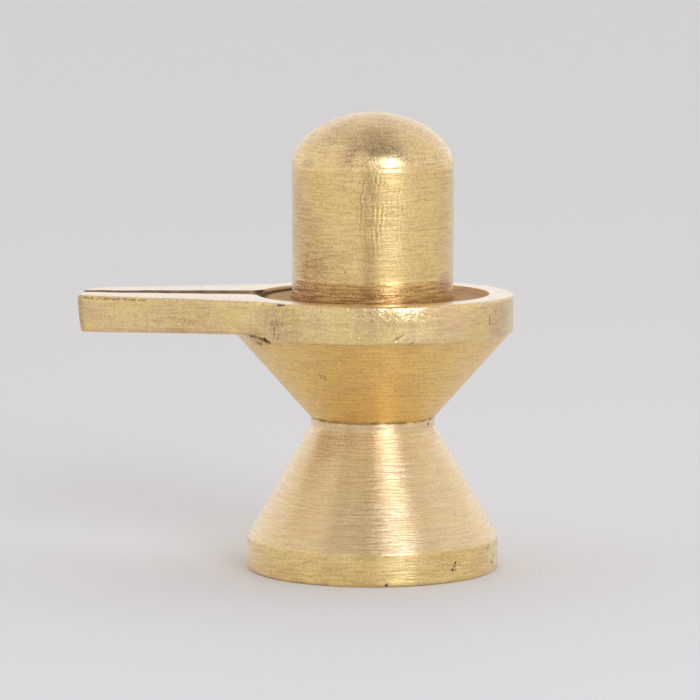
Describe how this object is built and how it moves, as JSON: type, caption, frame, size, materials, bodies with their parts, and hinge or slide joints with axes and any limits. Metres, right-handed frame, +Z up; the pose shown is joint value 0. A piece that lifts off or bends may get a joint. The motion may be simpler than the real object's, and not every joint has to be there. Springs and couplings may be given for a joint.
{
  "type": "shiva lingam",
  "caption": "Small solid brass shiva lingam: domed post in a shallow round basin with a tapered pouring spout, on an hourglass foot.",
  "frame": {"origin": "middle of the flat round underside, on the turning axis", "axes": "+Z up along the turning axis, -X along the pouring spout, +Y to the side away from the picture's camera"},
  "size_m": [0.0568, 0.0368, 0.06],
  "materials": {
    "turned_brass": "satin, turned, with fine rings; the rim band and the spout are filed"
  },
  "bodies": {
    "root": {"shiva_lingam": "turned_brass"}
  },
  "joints": []
}
